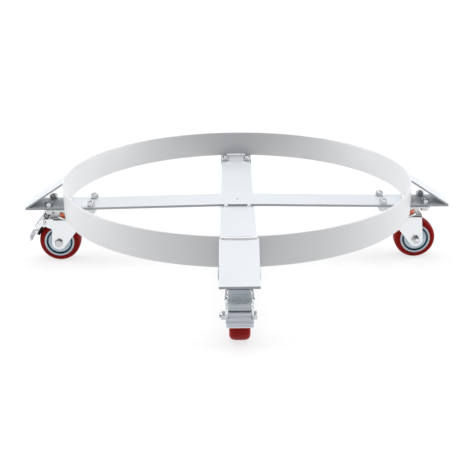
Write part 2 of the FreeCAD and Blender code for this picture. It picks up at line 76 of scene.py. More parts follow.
def span(node, axis):
    """The lowest and highest coordinate of a CAD node along one axis, in millimetres."""
    low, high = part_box(node)
    return low[axis] / MM, high[axis] / MM


RING_LOW, RING_HIGH = span("drum_ring", 2)
RING_OUTER = span("drum_ring", 0)[1]
RING_BAND = 3.0
RING_INNER = RING_OUTER - RING_BAND
ARM_REACH = span("over_cross_bar", 0)[1]
BAR_HALF = span("over_cross_bar", 1)[1]
BAR_THICK = 4.0
CROSS_LOW = span("long_cross_bar", 2)[0] + BAR_THICK

BOLT_FLAT = 13.0
BOLT_RADIUS = 4.0
BOLT_HEAD = 5.5
THREAD_PITCH = 1.25
THREAD_DEPTH = 0.38
NUT_HEIGHT = 6.5
WASHER_THICK = 2.0
WASHER_RADIUS = 7.0
HOLE_SIDE = 22.5
HOLE_REACH = 38.0
PLATE_LOW = span("caster_bolts", 2)[0] + BOLT_HEAD

# The ring curves back by BRACE_INSET behind a brace's corners, where the brace is highest.
BRACE_TOP = span("brace_right", 2)[1]
BRACE_INSET = 1.4
BRACE_SLOPE = (BRACE_TOP - RING_LOW) / (ARM_REACH - RING_OUTER + BRACE_INSET)

SWIVEL_REACH = JOINTS["swivel_right"]["pos_m"][0] / MM
TRAIL = JOINTS["roll_right"]["pos_m"][0] / MM - SWIVEL_REACH
AXLE_Z = JOINTS["roll_right"]["pos_m"][2] / MM
WHEEL_RADIUS = span("wheel_tread_right", 2)[1] - AXLE_Z
TREAD_HALF = span("wheel_tread_right", 1)[1]
CORE_RADIUS = span("wheel_core_right", 2)[1] - AXLE_Z
HUB_HALF = span("wheel_core_right", 1)[1]
BEARING_RADIUS = span("wheel_bearings_right", 2)[1] - AXLE_Z
BEARING_INSIDE = 9.0
SEAL_LOW, SEAL_HIGH = span("dust_seals", 2)

HEAD_TOP = span("fork_right", 2)[1]
HEAD_RADIUS = span("fork_right", 1)[1]
LEG_INNER = 18.5
LEG_THICK = 2.8
LEG_FACE = LEG_INNER + LEG_THICK
LEG_END = 13.0
LEG_TOP = HEAD_TOP - 6.0
PIN_REACH = -JOINTS["brake_left"]["pos_m"][0] / MM - SWIVEL_REACH
PIN_Z = JOINTS["brake_left"]["pos_m"][2] / MM


# Mesh building. A part is a pair: its points, and its faces as numbers of points.

SHARP_TURN = 35     # an edge that turns by more than this many degrees is a sharp one


def on_arm(arm, along=0.0, up=0.0):
    """The matrix that takes a piece drawn on the +X arm to its own arm."""
    turn = Matrix.Rotation(math.radians(ARMS[arm]), 4, "Z")
    return turn @ Matrix.Translation((along, 0, up))


def caster(arm):
    """The matrix of an arm's swivel axis, at the floor."""
    return on_arm(arm, SWIVEL_REACH)


def axle(arm):
    """The matrix of the middle of an arm's wheel."""
    return on_arm(arm, SWIVEL_REACH + TRAIL, AXLE_Z)


def mesh_from(parts):
    """One bmesh from several parts."""
    shape = bmesh.new()
    for points, faces in parts:
        made = [shape.verts.new(point) for point in points]
        for face in faces:
            shape.faces.new([made[i] for i in face])
    bmesh.ops.remove_doubles(shape, verts=shape.verts, dist=1e-5)
    bmesh.ops.recalc_face_normals(shape, faces=shape.faces)
    return shape


def moved(part, matrix):
    """A part with its points taken through a matrix."""
    points, faces = part
    return [matrix @ Vector(point) for point in points], faces


def mesh_piece(name, parts, body, material, replaces, place=None):
    """A named piece from parts in millimetres, riding on a body in place of CAD nodes."""
    shape = mesh_from(parts)
    mesh = bpy.data.meshes.new(name)
    shape.to_mesh(mesh)
    shape.free()
    mesh.transform(Matrix.Scale(MM, 4) @ (place or Matrix.Identity(4)))
    piece = bpy.data.objects.new(name, mesh)
    bpy.context.scene.collection.objects.link(piece)
    mesh.materials.append(material)
    mesh.shade_smooth()
    mesh.set_sharp_from_angle(angle=math.radians(SHARP_TURN))
    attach(piece, body)
    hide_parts(*replaces)
    return piece


def add_bevel(piece, width, segments=3, limit=SHARP_TURN):
    """Ease the edges of a piece that turn by more than the limit in degrees."""
    bevel = piece.modifiers.new("edges", "BEVEL")
    bevel.width = width * MM
    bevel.segments = segments
    bevel.limit_method = "ANGLE"
    bevel.angle_limit = math.radians(limit)
    bevel.harden_normals = True


def one_each(radii, points):
    """A list of radii, one per point, from a list or from one number."""
    return list(radii) if isinstance(radii, (list, tuple)) else [radii] * len(points)


def rounded(points, radii, steps):
    """A path through the points with its corners rounded. radii is one number or one per point."""
    radii = one_each(radii, points)
    path = []
    for i, point in enumerate(points):
        corner = Vector(point)
        if i in (0, len(points) - 1) or radii[i] == 0:
            path.append(corner)
            continue
        before = (Vector(points[i - 1]) - corner).normalized()
        after = (Vector(points[i + 1]) - corner).normalized()
        half = before.angle(after) / 2
        reach = radii[i] / math.tan(half)
        start, end = corner + before * reach, corner + after * reach
        centre = corner + (before + after).normalized() * (radii[i] / math.sin(half))
        for step in range(steps + 1):
            spoke = (start - centre).lerp(end - centre, step / steps).normalized() * radii[i]
            path.append(centre + spoke)
    return [tuple(point) for point in path]


def closed_round(points, radii, steps):
    """As rounded(), for a closed outline."""
    around = [points[-1]] + list(points) + [points[0]]
    path = rounded(around, [0] + one_each(radii, points) + [0], steps)
    return path[1:-1]


def lathe(profile, segments, close=True):
    """Turn a profile of (radius, height) about z. A closed profile makes a ring."""
    points = []
    for i in range(segments):
        angle = math.radians(360.0 * i / segments)
        for radius, height in profile:
            points.append((radius * math.cos(angle), radius * math.sin(angle), height))
    size = len(profile)
    faces = []
    for i in range(segments):
        here, following = i * size, (i + 1) % segments * size
        for j in range(size if close else size - 1):
            k = (j + 1) % size
            faces.append((here + j, following + j, following + k, here + k))
    return points, faces


def rod(radius, low, high, segments):
    """A plain round rod along z."""
    return lathe([(0, low), (radius, low), (radius, high), (0, high)], segments, close=False)


def about_v(part):
    """Lay a part turned about z on its side, so that it turns about v."""
    return moved(part, Matrix.Rotation(math.radians(-90), 4, "X"))


def tube_faces(rings, around):
    """The faces between rings of points that follow each other."""
    faces = []
    for ring in range(rings - 1):
        here, following = ring * around, (ring + 1) * around
        for i in range(around):
            k = (i + 1) % around
            faces.append((here + i, here + k, following + k, following + i))
    return faces


def capped_faces(rings, around):
    """As tube_faces(), with a face over each end."""
    first, last = range(around), range((rings - 1) * around, rings * around)
    return tube_faces(rings, around) + [tuple(reversed(first)), tuple(last)]


def slab(outline, low, high):
    """An outline of (u, z) pairs, made into a plate between two values of v."""
    size = len(outline)
    points = [(u, level, z) for level in (low, high) for u, z in outline]
    faces = [tuple(range(size)), tuple(reversed(range(size, 2 * size)))]
    for i in range(size):
        k = (i + 1) % size
        faces.append((i, k, k + size, i + size))
    return points, faces


def sheet(rows, thick):
    """Pressed metal of even thickness from a grid of middle points."""
    last_row, last = len(rows) - 1, len(rows[0]) - 1

    def normal(i, j):
        down = Vector(rows[min(i + 1, last_row)][j]) - Vector(rows[max(i - 1, 0)][j])
        across = Vector(rows[i][min(j + 1, last)]) - Vector(rows[i][max(j - 1, 0)])
        return down.cross(across).normalized()

    points = []
    for side in (0.5, -0.5):
        for i, row in enumerate(rows):
            for j, point in enumerate(row):
                points.append(Vector(point) + normal(i, j) * thick * side)
    wide = last + 1
    layer = len(rows) * wide
    faces = []
    for i in range(last_row):
        for j in range(last):
            a, b = i * wide + j, (i + 1) * wide + j
            faces.append((a, a + 1, b + 1, b))
            faces.append((layer + b, layer + b + 1, layer + a + 1, layer + a))
    edge = [(0, j) for j in range(wide)] + [(i, last) for i in range(1, last_row + 1)]
    edge += [(last_row, j) for j in range(last - 1, -1, -1)]
    edge += [(i, 0) for i in range(last_row - 1, 0, -1)]
    numbers = [i * wide + j for i, j in edge]
    for a, b in zip(numbers, numbers[1:] + numbers[:1]):
        faces.append((b, a, layer + a, layer + b))
    return points, faces


# Fasteners

def hexagon_radius(flat, angle):
    """How far the side of a hexagon is from its middle, at an angle in radians."""
    step = math.radians(60)
    return flat / 2 / math.cos((angle + step / 2) % step - step / 2)


def hexagon(flat, low, high, chamfer_low, chamfer_high, bore=0.0, dish=0.0):
    """A hexagon nut or bolt head along z, with the curved chamfers that turning leaves."""
    around = 72
    round_face = flat / 2 - 0.3
    slope = 1.73
    levels = [0, 0.12, 0.25, 0.45, 0.7, 1.0, 1.4]
    heights = [low + level for level in levels] + [high - level for level in reversed(levels)]
    inner_radius = bore if bore else flat * 0.18

    def radius_at(height, angle):
        limits = [hexagon_radius(flat, angle)]
        if chamfer_low:
            limits.append(round_face + slope * (height - low))
        if chamfer_high:
            limits.append(round_face + slope * (high - height))
        return min(limits)

    def at(radius, angle, height):
        return radius * math.cos(angle), radius * math.sin(angle), height

    angles = [2 * math.pi * i / around for i in range(around)]
    points = [at(radius_at(height, angle), angle, height) for height in heights for angle in angles]
    faces = tube_faces(len(heights), around)
    for ring, height in ((0, low + dish), (len(heights) - 1, high - dish)):
        outer, inner = ring * around, len(points)
        points += [at(inner_radius, angle, height) for angle in angles]
        for i in range(around):
            k = (i + 1) % around
            faces.append((outer + i, outer + k, inner + k, inner + i))
        if not bore:
            faces.append(tuple(range(inner, inner + around)))
    if bore:
        low_ring, high_ring = len(points) - 2 * around, len(points) - around
        for i in range(around):
            k = (i + 1) % around
            faces.append((low_ring + i, low_ring + k, high_ring + k, high_ring + i))
    return points, faces


def thread(radius, low, high):
    """A threaded rod along z, its upper end chamfered."""
    around, per_turn = 28, 6
    chamfer, chamfer_depth = 0.9, 0.5
    steps = max(2, int((high - low) / THREAD_PITCH * per_turn))
    points = []
    for step in range(steps + 1):
        height = low + (high - low) * step / steps
        end = min(1.0, (high - height) / chamfer)
        for i in range(around):
            angle = 2 * math.pi * i / around
            phase = (height / THREAD_PITCH - i / around) % 1
            ridge = 1 - abs(2 * phase - 1)
            crest = radius - THREAD_DEPTH + THREAD_DEPTH * ridge * end - chamfer_depth * (1 - end)
            points.append((crest * math.cos(angle), crest * math.sin(angle), height))
    return points, capped_faces(steps + 1, around)


def spring_washer(low, thick, inner, outer):
    """A split washer: one turn of square wire whose ends are a little apart."""
    steps, gap, lift, corner = 60, 8.0, 0.35, 0.25
    wire = [(inner, 0), (outer, 0), (outer, thick - lift), (inner, thick - lift)]
    section = closed_round(wire, corner, 3)
    points = []
    for step in range(steps + 1):
        angle = math.radians(gap + (360 - 2 * gap) * step / steps)
        for radius, height in section:
            rise = low + height + lift * step / steps
            points.append((radius * math.cos(angle), radius * math.sin(angle), rise))
    return points, capped_faces(steps + 1, len(section))


def weld_bead(stations, ripple=2.6, taper_length=3.0):
    """A bead along stations of (point, across, up, width, height), swelling where each ripple froze."""
    around = 14
    thinnest, swing = 0.94, 0.13
    blunt = 0.08
    length = 0.0
    lengths = [0.0]
    for before, after in zip(stations, stations[1:]):
        length += (Vector(after[0]) - Vector(before[0])).length
        lengths.append(length)
    points = []
    for (point, across, up, width, height), along in zip(stations, lengths):
        end = min(1.0, along / taper_length, (length - along) / taper_length)
        taper = math.sqrt(max(end * (2 - end), 0.0)) * (1 - blunt) + blunt
        swell = taper * (thinnest + swing * abs(math.sin(math.pi * along / ripple)))
        for k in range(around):
            angle = 2 * math.pi * k / around
            sideways = Vector(across) * math.cos(angle) * width * swell
            outwards = Vector(up) * math.sin(angle) * height * swell
            points.append(Vector(point) + sideways + outwards)
    return points, capped_faces(len(stations), around)


# Materials

NOISE_LOW, NOISE_HIGH = 0.3, 0.7    # noise seldom leaves this range


def new_material(name):
    """A node material; returns it with its node tree and its Principled shader."""
    material = bpy.data.materials.new(name)
    material.use_nodes = True
    return material, material.node_tree, material.node_tree.nodes["Principled BSDF"]


def grain(tree, scale, detail=3.0, stretch=(1, 1, 1)):
    """Noise in the piece's own space, in cycles per metre; its factor output."""
    place = tree.nodes.new("ShaderNodeTexCoord")
    mapping = tree.nodes.new("ShaderNodeMapping")
    mapping.inputs["Scale"].default_value = stretch
    noise = tree.nodes.new("ShaderNodeTexNoise")
    noise.inputs["Scale"].default_value = scale
    noise.inputs["Detail"].default_value = detail
    tree.links.new(place.outputs["Object"], mapping.inputs["Vector"])
    tree.links.new(mapping.outputs["Vector"], noise.inputs["Vector"])
    return noise.outputs["Fac"]


def ramp(tree, factor, *stops):
    """A colour ramp of (position, colour) stops."""
    node = tree.nodes.new("ShaderNodeValToRGB")
    while len(node.color_ramp.elements) < len(stops):
        node.color_ramp.elements.new(0.5)
    for element, (position, colour) in zip(node.color_ramp.elements, stops):
        element.position = position
        element.color = (*colour, 1)
    tree.links.new(factor, node.inputs["Fac"])
    return node.outputs["Color"]


def spread(tree, factor, low, high):
    """Map the usual range of a noise to a range from low to high."""
    node = tree.nodes.new("ShaderNodeMapRange")
    node.inputs["From Min"].default_value = NOISE_LOW
    node.inputs["From Max"].default_value = NOISE_HIGH
    node.inputs["To Min"].default_value = low
    node.inputs["To Max"].default_value = high
    tree.links.new(factor, node.inputs["Value"])
    return node.outputs["Result"]


def bump(tree, shader, height, distance):
    """Raise the surface by a factor, at most by a distance in millimetres."""
    node = tree.nodes.new("ShaderNodeBump")
    node.inputs["Distance"].default_value = distance * MM
    node.inputs["Strength"].default_value = 1.0
    tree.links.new(height, node.inputs["Height"])
    tree.links.new(node.outputs["Normal"], shader.inputs["Normal"])


def tinted(colour, factor):
    """A colour made lighter or darker by a factor."""
    return tuple(min(1.0, channel * factor) for channel in colour)


def metal_or_paint(name, colour, metallic, rough, variation, scale, grain_scale, grain_depth,
                   stretch=(1, 1, 1), specular=0.5):
    """A surface with slow colour drift, uneven gloss and fine grain.

    rough is the lowest and highest roughness. The two scales are in cycles per metre and
    grain_depth is in millimetres.
    """
    material, tree, shader = new_material(name)
    dark, light = tinted(colour, 1 - variation), tinted(colour, 1 + variation)
    shade = ramp(tree, grain(tree, scale), (NOISE_LOW, dark), (NOISE_HIGH, light))
    tree.links.new(shade, shader.inputs["Base Color"])
    shader.inputs["Metallic"].default_value = metallic
    shader.inputs["Specular IOR Level"].default_value = specular
    fine = grain(tree, grain_scale, 2.0, stretch)
    tree.links.new(spread(tree, grain(tree, scale * 2), *rough), shader.inputs["Roughness"])
    bump(tree, shader, fine, grain_depth)
    return material


ENAMEL = {"metallic": 0.12, "rough": (0.36, 0.44), "variation": 0.02, "scale": 9,
          "grain_scale": 700, "grain_depth": 0.01}
MOULDED = {"metallic": 0.0, "rough": (0.3, 0.42), "variation": 0.04, "scale": 60,
           "grain_scale": 1200, "grain_depth": 0.008}


def frame_paint():
    return metal_or_paint("frame_enamel", (0.655, 0.662, 0.677), **ENAMEL)


def bar_paint():
    """The same enamel, with painted shade on the upright edge faces of the flat bars and braces."""
    material = metal_or_paint("bar_enamel_painted_edge_shade", (0.655, 0.682, 0.71), **ENAMEL)
    # Faces that stand upright, found from the normal, are multiplied by a grey: painted shade along the
    # edges.
    painted_edge_shade, face_tint = (0.55, 0.56, 0.57), (1, 1, 1)
    tree = material.node_tree
    shader = tree.nodes["Principled BSDF"]
    even = shader.inputs["Base Color"].links[0].from_socket
    place = tree.nodes.new("ShaderNodeTexCoord")
    split = tree.nodes.new("ShaderNodeSeparateXYZ")
    size = tree.nodes.new("ShaderNodeMath")
    size.operation = "ABSOLUTE"
    tree.links.new(place.outputs["Normal"], split.inputs["Vector"])
    tree.links.new(split.outputs["Z"], size.inputs[0])
    tint = ramp(tree, size.outputs["Value"], (0.3, painted_edge_shade), (0.6, face_tint))
    blend = tree.nodes.new("ShaderNodeMix")
    blend.data_type = "RGBA"
    blend.blend_type = "MULTIPLY"
    blend.inputs["Factor"].default_value = 1.0
    tree.links.new(even, blend.inputs["A"])
    tree.links.new(tint, blend.inputs["B"])
    tree.links.new(blend.outputs["Result"], shader.inputs["Base Color"])
    return material


# The beads carry the frame's enamel, lightened far past it: a painted highlight, so that beads in shade still
# show light.
def lit_weld_paint():
    return metal_or_paint("weld_enamel_painted_highlight", (0.88, 0.89, 0.90), metallic=0.3, rough=(0.26, 0.36),
                          variation=0.04, scale=160, grain_scale=1500, grain_depth=0.03)


def fork_zinc():
    return metal_or_paint("bright_zinc", (0.84, 0.86, 0.88), metallic=0.9, rough=(0.24, 0.28),
                          variation=0.03, scale=20, grain_scale=500, grain_depth=0.002)


def plate_zinc():
    return metal_or_paint("dull_zinc", (0.62, 0.66, 0.66), metallic=0.7, rough=(0.26, 0.32),
                          variation=0.05, scale=30, grain_scale=700, grain_depth=0.004)


def fastener_zinc():
    return metal_or_paint("fastener_zinc", (0.58, 0.59, 0.60), metallic=1.0, rough=(0.08, 0.14),
                          variation=0.06, scale=60, grain_scale=900, grain_depth=0.002)


def pedal_steel():
    return metal_or_paint("pedal_steel", (0.60, 0.65, 0.70), metallic=0.4, rough=(0.28, 0.33),
                          variation=0.04, scale=20, grain_scale=500, grain_depth=0.002,
                          stretch=(1, 1, 0.2))


# Lighter than the pedal's plate: painted light, which offsets the shade on the lip's faces that turn from the
# lamps.
def pedal_lip_zinc_painted_light():
    return metal_or_paint("pedal_lip_zinc_painted_light", (0.74, 0.77, 0.84), metallic=0.3, rough=(0.28, 0.34),
                          variation=0.03, scale=20, grain_scale=500, grain_depth=0.002)


def bearing_steel():
    return metal_or_paint("bearing_steel", (0.72, 0.73, 0.75), metallic=1.0, rough=(0.12, 0.2),
                          variation=0.03, scale=60, grain_scale=900, grain_depth=0.002)


def seal_plastic():
    return metal_or_paint("seal_plastic", (0.80, 0.15, 0.04), metallic=0.0, rough=(0.35, 0.5),
                          variation=0.08, scale=90, grain_scale=1500, grain_depth=0.01)


def tread_red():
    return metal_or_paint("tread_polyurethane", (0.235, 0.006, 0.005), metallic=0.0,
                          rough=(0.40, 0.50), variation=0.16, scale=45, grain_scale=1200,
                          grain_depth=0.006, specular=0.06)


def brake_rubber():
    return metal_or_paint("brake_rubber", (0.012, 0.012, 0.013), metallic=0.0, rough=(0.6, 0.75),
                          variation=0.2, scale=120, grain_scale=1200, grain_depth=0.03, specular=0.3)


def core_pale():
    return metal_or_paint("core_pale", (0.60, 0.70, 0.80), **MOULDED)


def core_rim():
    return metal_or_paint("core_rim", (0.64, 0.69, 0.76), **MOULDED)


# Dark teal: partly the core's own colour in its groove, partly painted shade of the recess.
def core_dark():
    return metal_or_paint("core_dark", (0.014, 0.15, 0.20), metallic=0.0, rough=(0.35, 0.5),
                          variation=0.12, scale=60, grain_scale=1200, grain_depth=0.008, specular=0.3)


def dark_shield():
    return metal_or_paint("bearing_shield", (0.05, 0.045, 0.055), metallic=0.2, rough=(0.35, 0.5),
                          variation=0.1, scale=90, grain_scale=1500, grain_depth=0.005, specular=0.3)


PAINT = frame_paint()
BAR = bar_paint()
WELD = lit_weld_paint()
ZINC = fork_zinc()
PLATE = plate_zinc()
FASTENER = fastener_zinc()
PEDAL = pedal_steel()
LIP = pedal_lip_zinc_painted_light()
STEEL = bearing_steel()
SEAL = seal_plastic()
TREAD = tread_red()
RUBBER = brake_rubber()
CORE_PALE = core_pale()
CORE_RIM = core_rim()
CORE_DARK = core_dark()
SHIELD = dark_shield()


# Frame pieces

def dress(node, material, bevel=None):
    """Keep a CAD node, with a material of its own and, where a bevel is given, softer edges."""
    piece = frame["nodes"][node]
    piece.data.materials.clear()
    piece.data.materials.append(material)
    if bevel:
        add_bevel(piece, bevel)


def drum_ring():
    """The rolled band, its edges eased, with the butt weld of its ends at the front arm."""
    ease, steps, margin = 0.9, 40, 1.5
    section = closed_round([(RING_INNER, RING_LOW), (RING_OUTER, RING_LOW),
                            (RING_OUTER, RING_HIGH), (RING_INNER, RING_HIGH)], ease, 4)
    middle, half_width, half_depth = RING_INNER + RING_BAND / 2, 2.6, RING_BAND / 2 + 0.5
    seam = []
    for step in range(steps + 1):
        height = RING_LOW + margin + (RING_HIGH - RING_LOW - 2 * margin) * step / steps
        seam.append(((0, -middle, height), (1, 0, 0), (0, 1, 0), half_width, half_depth))
    parts = [lathe(section, 360), weld_bead(seam, ripple=1.9, taper_length=1.0)]
    mesh_piece("ring_band", parts, "frame", PAINT, ["drum_ring"])


def arc_stations(radius, half_angle, width, tall, lean):
    """Weld stations along the ring's foot. lean is the bead's own (outward, up) direction."""
    stations = []
    steps = 48
    for step in range(steps + 1):
        angle = math.radians(-half_angle + 2 * half_angle * step / steps)
        out = Vector((math.cos(angle), math.sin(angle), 0))
        across = out * lean[1] - Vector((0, 0, 1)) * lean[0]
        up = out * lean[0] + Vector((0, 0, 1)) * lean[1]
        stations.append((out * radius + Vector((0, 0, RING_LOW)), across, up, width, tall))
    return stations


def ring_weld_beads():
    """Fillet beads on both sides of the ring's foot, on each arm."""
    half_angle = 3.9
    slant = math.sqrt(0.5)
    inside = arc_stations(RING_INNER, half_angle, 3.8, 2.8, (-slant, slant))
    outside = arc_stations(RING_OUTER, half_angle, 2.4, 1.8, (slant, slant))
    beads = [weld_bead(inside), weld_bead(outside)]
    parts = [moved(bead, on_arm(arm)) for arm in ARMS for bead in beads]
    mesh_piece("ring_weld_beads", parts, "frame", WELD, ["ring_welds"])


def brace_weld_beads():
    """Beads along the tops of the braces, against the ring's outer face."""
    half_length, steps, lift = 28.5, 60, 0.5
    across, up = Vector((0.35, 0, -0.94)), Vector((0.94, 0, 0.35))
    stations = []
    for step in range(steps + 1):
        side = -half_length + 2 * half_length * step / steps
        wall = math.sqrt(RING_OUTER ** 2 - side ** 2)
        height = RING_LOW + (ARM_REACH - wall) * BRACE_SLOPE
        stations.append(((wall, side, height + lift), across, up, 2.5, 1.5))
    bead = weld_bead(stations, ripple=2.8)
    parts = [moved(bead, on_arm(arm)) for arm in ARMS]
    mesh_piece("brace_weld_beads", parts, "frame", WELD, ["brace_welds"])


def cross_tacks():
    """Four tacks along the upper bar's edges where the bars cross."""
    reach, half_length, lift, steps = 21, 3.6, 1.4, 12
    parts = []
    for side in (-1, 1):
        across, up = (0, side * 0.8, -0.6), (0, side * 0.6, 0.8)
        for middle in (-reach, reach):
            stations = []
            for step in range(steps + 1):
                along = middle - half_length + 2 * half_length * step / steps
                stations.append(((along, side * BAR_HALF, CROSS_LOW + lift), across, up, 2.6, 2.0))
            parts.append(weld_bead(stations, ripple=2.4, taper_length=2.4))
    mesh_piece("cross_tacks", parts, "frame", WELD, ["cross_welds"])


def frame_metal():
    """The bars, braces and top plates from the CAD, and the ring and the beads drawn here."""
    ease = 0.4
    for node in ("long_cross_bar", "over_cross_bar"):
        dress(node, BAR, ease)
    for arm in ARMS:
        dress(f"brace_{arm}", BAR, ease)
        dress(f"top_plate_{arm}", PLATE, ease)
    drum_ring()
    ring_weld_beads()
    brace_weld_beads()
    cross_tacks()


def bolt_spots():
    """A matrix for each caster bolt: a pair inside the ring and a pair outside it, on every arm."""
    spots = []
    for arm in ARMS:
        for row in (-1, 1):
            for side in (-1, 1):
                hole = Matrix.Translation((0, side * HOLE_SIDE, 0))
                spots.append(on_arm(arm, SWIVEL_REACH + row * HOLE_REACH) @ hole)
    return spots


def turned(spot, number):
    """Turn a fastener about its own axis, each by its own amount, as they were tightened."""
    return spot @ Matrix.Rotation(math.radians(23 * number % 60), 4, "Z")


def caster_fasteners():
    """The bolts from below, and a spring washer and a nut on each above the bar."""
    bar_top = RING_LOW
    nut_low = bar_top + WASHER_THICK
    nut_high = nut_low + NUT_HEIGHT
    tip = nut_high + 2.0
    bolts, washers, nuts = [], [], []
    head = hexagon(BOLT_FLAT, PLATE_LOW - BOLT_HEAD, PLATE_LOW, True, False, dish=0.3)
    bolt = (head, rod(BOLT_RADIUS, PLATE_LOW, bar_top, 32), thread(BOLT_RADIUS, bar_top, tip))
    washer = spring_washer(bar_top, WASHER_THICK, BOLT_RADIUS + 0.15, WASHER_RADIUS)
    nut = hexagon(BOLT_FLAT, nut_low, nut_high, True, True, bore=BOLT_RADIUS - 0.1)
    for number, spot in enumerate(bolt_spots()):
        bolts += [moved(part, turned(spot, number)) for part in bolt]
        washers.append(moved(washer, turned(spot, 3 * number)))
        nuts.append(moved(nut, turned(spot, 2 * number)))
    mesh_piece("bolts", bolts, "frame", FASTENER, ["caster_bolts"])
    mesh_piece("spring_washers", washers, "frame", FASTENER, ["caster_washers"])
    mesh_piece("nuts", nuts, "frame", FASTENER, ["caster_nuts"])


def swivel_tops():
    """Dust seals with a ribbed lip, and the kingpins' riveted feet."""
    inside, valley, rib = 22.5, 24.2, 24.9
    seal = [(inside, SEAL_LOW), (24.6, SEAL_LOW), (25.0, SEAL_LOW + 1.2), (valley, SEAL_LOW + 2.2),
            (rib, SEAL_LOW + 3.4), (valley, SEAL_LOW + 4.6), (rib, SEAL_HIGH - 1.2),
            (24.6, SEAL_HIGH), (inside, SEAL_HIGH)]
    shank, head, foot = 6, 8.7, 10
    foot_low, head_high = span("kingpins", 2)
    foot_high, head_low = foot_low + 4, head_high - 5
    pin = [(0, foot_low), (5.5, foot_low), (8.8, foot_low + 0.8), (foot, foot_low + 2.4),
           (foot, foot_high), (shank, foot_high), (shank, head_low), (head, head_low),
           (head, head_high), (0, head_high)]
    seals = [moved(lathe(closed_round(seal, 0.35, 3), 120), caster(arm)) for arm in ARMS]
    pins = [moved(lathe(rounded(pin, 0.3, 3), 64, close=False), caster(arm)) for arm in ARMS]
    mesh_piece("swivel_seals", seals, "frame", SEAL, ["dust_seals"])
    mesh_piece("kingpin_rivets", pins, "frame", FASTENER, ["kingpins"])
    dress("swivel_balls", STEEL)


# Swivel pieces

def leg_edges(height):
    """The inner and outer edge of a fork leg at a height: straight edges, and a round end at the axle."""
    inner_top, outer_top = -24.0, 35.0
    tangent = math.radians(218)
    low_u, low_z = TRAIL + LEG_END * math.cos(tangent), AXLE_Z + LEG_END * math.sin(tangent)
    round_reach = math.sqrt(max(LEG_END ** 2 - (AXLE_Z - height) ** 2, 0))
    if height < low_z:
        inner = TRAIL - round_reach
    else:
        inner = low_u + (inner_top - low_u) * min(1.0, (height - low_z) / (LEG_TOP - low_z))
    widest = TRAIL + LEG_END
    if height < AXLE_Z:
        outer = TRAIL + round_reach
    else:
        outer = widest + (outer_top - widest) * min(1.0, (height - AXLE_Z) / (LEG_TOP - AXLE_Z))
    return inner, outer


def fork_shell():
    """The pressed fork: two legs that bend over into a flat crown, with the round swivel plate on it."""
    half = LEG_THICK / 2
    leg = LEG_INNER + half
    crown = HEAD_TOP - half - 0.4
    bend_low, bend_inside, bend_radius = crown - 7, 8, 5
    foot = AXLE_Z - LEG_END
    round_foot = [foot + LEG_END * (1 - math.cos(math.radians(angle))) for angle in range(4, 90, 8)]
    straight = [AXLE_Z + (bend_low - AXLE_Z) * step / 12 for step in range(13)]
    bend = rounded([(leg, bend_low), (leg, crown), (bend_inside, crown)], [0, bend_radius, 0], 8)
    section = [(leg, height) for height in round_foot + straight] + bend[1:-1]
    section += [(v, crown) for v in range(12, -1, -3)]
    section += [(-v, height) for v, height in reversed(section[:-1])]
    rows = []
    wide = 24
    for v, height in section:
        inner, outer = leg_edges(min(height, LEG_TOP))
        rows.append([(inner + (outer - inner) * step / wide, v, height) for step in range(wide + 1)])
    rim, middle, plate_low = HEAD_RADIUS - 1.5, 8, HEAD_TOP - 2.6
    plate = closed_round([(middle, plate_low), (rim, plate_low), (rim, HEAD_TOP), (middle, HEAD_TOP)],
                         [0, 0.8, 1.1, 0], 4)
    return [sheet(rows, LEG_THICK), lathe(plate, 120)]


def brake_ear(side):
    """One of the two ears that carry the pedal's pin."""
    radius, inset = 6.4, 0.05
    turns = [math.radians(angle) for angle in range(-80, 91, 10)]
    tip = [(PIN_REACH + radius * math.cos(turn), PIN_Z + radius * math.sin(turn)) for turn in turns]
    shape = [(26, 62), (32, 62)] + tip + [(40, 83.5), (34.8, 83.5), (28, 77)]
    low, high = sorted((side * LEG_INNER, side * LEG_FACE))
    return slab(shape, low + inset, high - inset)


def swivel_forks():
    """A fork on each arm, with ears where it carries a brake."""
    for arm in ARMS:
        parts = fork_shell()
        if arm in BRAKED:
            parts += [brake_ear(1), brake_ear(-1)]
        fork = mesh_piece(f"fork_shell_{arm}", parts, f"swivel_{arm}", ZINC,
                          [f"fork_{arm}"], caster(arm))
        add_bevel(fork, 0.5, 2, 50)


def axle_sets():
    """Each wheel's axle bolt and its lock nut with the collar, turned to angles of their own."""
    flip = Matrix.Rotation(math.pi, 4, "X")
    head = hexagon(BOLT_FLAT, LEG_FACE, LEG_FACE + BOLT_HEAD, False, True, dish=0.5)
    tail = moved(thread(BOLT_RADIUS, LEG_FACE, 31.0), flip)
    bolt = (head, rod(BOLT_RADIUS, -LEG_FACE, LEG_FACE, 40), tail)
    nut_end = -LEG_FACE - NUT_HEIGHT
    nut = moved(hexagon(BOLT_FLAT, LEG_FACE, LEG_FACE + NUT_HEIGHT, True, True, bore=BOLT_RADIUS - 0.1), flip)
    collar = [(BOLT_RADIUS, nut_end + 0.6), (5.7, nut_end + 0.6), (5.5, nut_end - 0.9),
              (BOLT_RADIUS, nut_end - 1.2)]
    lock_nut = (nut, lathe(closed_round(collar, 0.3, 3), 48))
    for number, arm in enumerate(ARMS):
        twist = Matrix.Rotation(math.radians(11 + 17 * number), 4, "Y")
        for name, parts, node in (("axle_screw", bolt, "axle_bolt"), ("lock_nut", lock_nut, "axle_nut")):
            mesh_piece(f"{name}_{arm}", [moved(about_v(part), twist) for part in parts], f"swivel_{arm}",
                       FASTENER, [f"{node}_{arm}"], axle(arm))
        dress(f"axle_sleeve_{arm}", FASTENER)


# Wheel pieces

def tread_part():
    """The cast tread: nearly flat in the middle and rounding over to its side walls."""
    drop, steps = 8.0, 40
    profile = [(CORE_RADIUS, -TREAD_HALF)]
    for step in range(steps + 1):
        side = math.sin(math.pi * (step / steps - 0.5))
        fall = drop * (1 - math.sqrt(max(1 - side ** 4, 0)))
        profile.append((WHEEL_RADIUS - fall, TREAD_HALF * side))
    profile.append((CORE_RADIUS, TREAD_HALF))
    return about_v(lathe(profile, 160))


